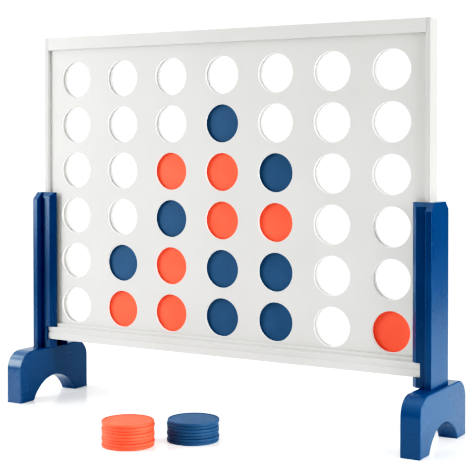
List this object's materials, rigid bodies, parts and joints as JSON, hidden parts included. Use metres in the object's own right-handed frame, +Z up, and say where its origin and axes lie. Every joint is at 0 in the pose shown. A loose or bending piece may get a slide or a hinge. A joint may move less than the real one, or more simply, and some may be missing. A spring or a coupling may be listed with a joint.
{
  "type": "giant four in a row game",
  "caption": "Free-standing outdoor game: a drilled two-panel board between two posts on arched feet, with drop-in discs and a sliding disc release.",
  "frame": {"origin": "on the ground at the middle of the whole set's footprint, loose stacks included", "axes": "+X along the board to the right as the players face it, +Y from the players' side to the back, +Z up"},
  "size_m": [0.9204, 0.4334, 0.7638],
  "materials": {
    "white_paint": "satin white paint on board",
    "blue_paint": "semi-gloss blue paint on softwood",
    "orange_plastic": "moulded, fine satin texture",
    "blue_plastic": "moulded, fine satin texture",
    "white_plastic": "smooth satin",
    "zinc_steel": "zinc plated",
    "bare_wood": "raw beech"
  },
  "bodies": {
    "frame": {"front_panel": "white_paint", "front_top_rail": "white_paint", "front_bottom_rail": "white_paint", "front_support_bar": "white_paint", "back_panel": "white_paint", "back_top_rail": "white_paint", "back_bottom_rail": "white_paint", "back_support_bar": "white_paint", "column_divider_1": "white_paint", "column_divider_2": "white_paint", "column_divider_3": "white_paint", "column_divider_4": "white_paint", "column_divider_5": "white_paint", "column_divider_6": "white_paint", "left_side_board": "white_paint", "left_end_divider": "white_paint", "left_post_board": "blue_paint", "left_front_post_strip": "blue_paint", "left_back_post_strip": "blue_paint", "left_foot": "blue_paint", "right_side_board": "white_paint", "right_end_divider": "white_paint", "right_post_board": "blue_paint", "right_front_post_strip": "blue_paint", "right_back_post_strip": "blue_paint", "right_foot": "blue_paint", "panel_screws": "zinc_steel", "rail_screws": "zinc_steel", "foot_screws": "zinc_steel", "post_dowels": "bare_wood"},
    "release_slide": {"release_slider": "white_plastic", "release_stud": "zinc_steel", "release_knob": "blue_plastic"},
    "orange_disc_column_2_row_6": {"orange_disc_column_2_row_6": "orange_plastic"},
    "blue_disc_column_2_row_5": {"blue_disc_column_2_row_5": "blue_plastic"},
    "orange_disc_column_3_row_6": {"orange_disc_column_3_row_6": "orange_plastic"},
    "orange_disc_column_3_row_5": {"orange_disc_column_3_row_5": "orange_plastic"},
    "blue_disc_column_3_row_4": {"blue_disc_column_3_row_4": "blue_plastic"},
    "orange_disc_column_3_row_3": {"orange_disc_column_3_row_3": "orange_plastic"},
    "blue_disc_column_4_row_6": {"blue_disc_column_4_row_6": "blue_plastic"},
    "blue_disc_column_4_row_5": {"blue_disc_column_4_row_5": "blue_plastic"},
    "orange_disc_column_4_row_4": {"orange_disc_column_4_row_4": "orange_plastic"},
    "orange_disc_column_4_row_3": {"orange_disc_column_4_row_3": "orange_plastic"},
    "blue_disc_column_4_row_2": {"blue_disc_column_4_row_2": "blue_plastic"},
    "blue_disc_column_5_row_6": {"blue_disc_column_5_row_6": "blue_plastic"},
    "blue_disc_column_5_row_5": {"blue_disc_column_5_row_5": "blue_plastic"},
    "orange_disc_column_5_row_4": {"orange_disc_column_5_row_4": "orange_plastic"},
    "blue_disc_column_5_row_3": {"blue_disc_column_5_row_3": "blue_plastic"},
    "orange_disc_column_7_row_6": {"orange_disc_column_7_row_6": "orange_plastic"},
    "orange_disc_stack": {"orange_disc_stack": "orange_plastic"},
    "blue_disc_stack": {"blue_disc_stack": "blue_plastic"}
  },
  "joints": [
    {"name": "release_slide_travel", "type": "slide", "parent": "frame", "child": "release_slide", "axis": [-1, 0, 0], "range_m": [0, 0.055]},
    {"name": "lift_column_2_row_6", "type": "slide", "parent": "frame", "child": "orange_disc_column_2_row_6", "axis": [0, 0, 1], "range_m": [0, 0.618]},
    {"name": "lift_column_2_row_5", "type": "slide", "parent": "orange_disc_column_2_row_6", "child": "blue_disc_column_2_row_5", "axis": [0, 0, 1], "range_m": [0, 0.523]},
    {"name": "lift_column_3_row_6", "type": "slide", "parent": "frame", "child": "orange_disc_column_3_row_6", "axis": [0, 0, 1], "range_m": [0, 0.618]},
    {"name": "lift_column_3_row_5", "type": "slide", "parent": "orange_disc_column_3_row_6", "child": "orange_disc_column_3_row_5", "axis": [0, 0, 1], "range_m": [0, 0.523]},
    {"name": "lift_column_3_row_4", "type": "slide", "parent": "orange_disc_column_3_row_5", "child": "blue_disc_column_3_row_4", "axis": [0, 0, 1], "range_m": [0, 0.427]},
    {"name": "lift_column_3_row_3", "type": "slide", "parent": "blue_disc_column_3_row_4", "child": "orange_disc_column_3_row_3", "axis": [0, 0, 1], "range_m": [0, 0.332]},
    {"name": "lift_column_4_row_6", "type": "slide", "parent": "frame", "child": "blue_disc_column_4_row_6", "axis": [0, 0, 1], "range_m": [0, 0.618]},
    {"name": "lift_column_4_row_5", "type": "slide", "parent": "blue_disc_column_4_row_6", "child": "blue_disc_column_4_row_5", "axis": [0, 0, 1], "range_m": [0, 0.523]},
    {"name": "lift_column_4_row_4", "type": "slide", "parent": "blue_disc_column_4_row_5", "child": "orange_disc_column_4_row_4", "axis": [0, 0, 1], "range_m": [0, 0.427]},
    {"name": "lift_column_4_row_3", "type": "slide", "parent": "orange_disc_column_4_row_4", "child": "orange_disc_column_4_row_3", "axis": [0, 0, 1], "range_m": [0, 0.332]},
    {"name": "lift_column_4_row_2", "type": "slide", "parent": "orange_disc_column_4_row_3", "child": "blue_disc_column_4_row_2", "axis": [0, 0, 1], "range_m": [0, 0.237]},
    {"name": "lift_column_5_row_6", "type": "slide", "parent": "frame", "child": "blue_disc_column_5_row_6", "axis": [0, 0, 1], "range_m": [0, 0.618]},
    {"name": "lift_column_5_row_5", "type": "slide", "parent": "blue_disc_column_5_row_6", "child": "blue_disc_column_5_row_5", "axis": [0, 0, 1], "range_m": [0, 0.523]},
    {"name": "lift_column_5_row_4", "type": "slide", "parent": "blue_disc_column_5_row_5", "child": "orange_disc_column_5_row_4", "axis": [0, 0, 1], "range_m": [0, 0.427]},
    {"name": "lift_column_5_row_3", "type": "slide", "parent": "orange_disc_column_5_row_4", "child": "blue_disc_column_5_row_3", "axis": [0, 0, 1], "range_m": [0, 0.332]},
    {"name": "lift_column_7_row_6", "type": "slide", "parent": "frame", "child": "orange_disc_column_7_row_6", "axis": [0, 0, 1], "range_m": [0, 0.618]},
    {"name": "lift_orange_disc_stack", "type": "slide", "parent": "frame", "child": "orange_disc_stack", "axis": [0, 0, 1], "range_m": [0, 0.3]},
    {"name": "lift_blue_disc_stack", "type": "slide", "parent": "frame", "child": "blue_disc_stack", "axis": [0, 0, 1], "range_m": [0, 0.3]}
  ]
}
